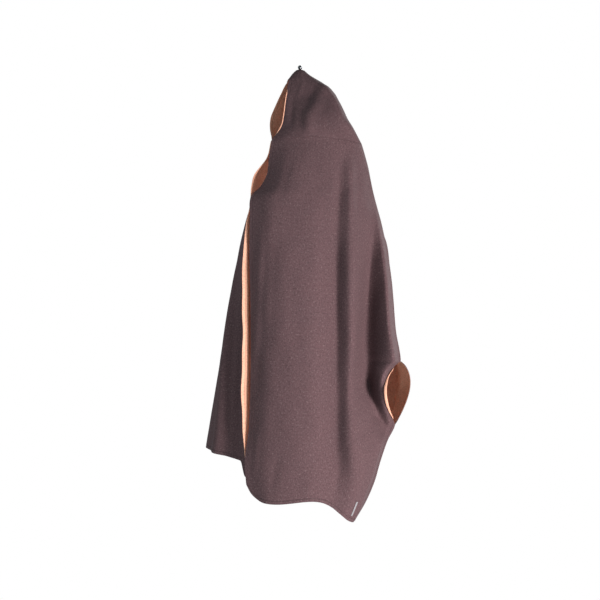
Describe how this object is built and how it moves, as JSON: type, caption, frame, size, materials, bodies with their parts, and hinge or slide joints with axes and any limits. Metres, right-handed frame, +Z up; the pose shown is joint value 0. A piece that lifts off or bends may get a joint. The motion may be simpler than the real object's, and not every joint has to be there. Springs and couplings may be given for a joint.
{
  "type": "hooded cape hung by its hood on a wall peg",
  "caption": "Long hooded cape of double-faced wool with hand openings in the side seams, hanging hollow by the hood's peak from a steel wall peg.",
  "frame": {"origin": "centre of the peg rose's back face, where it lies on the wall, on the peg's axis", "axes": "+Z up along the hanging garment, +Y into the wall along the peg, +X to the right for someone facing the wall"},
  "size_m": [0.6191, 0.4659, 1.38],
  "materials": {
    "wool_cloth": "matt double-faced wool, dark aubergine-brown melange outside and peach inside",
    "loop_tape": "woven tape",
    "label_tape": "smooth woven ribbon, bare",
    "peg_steel": "polished"
  },
  "bodies": {
    "root": {"left_front": "wool_cloth", "right_front": "wool_cloth", "back": "wool_cloth", "hood_left": "wool_cloth", "hood_right": "wool_cloth", "hanger_loop": "loop_tape", "side_label": "label_tape", "wall_peg": "peg_steel"}
  },
  "joints": []
}
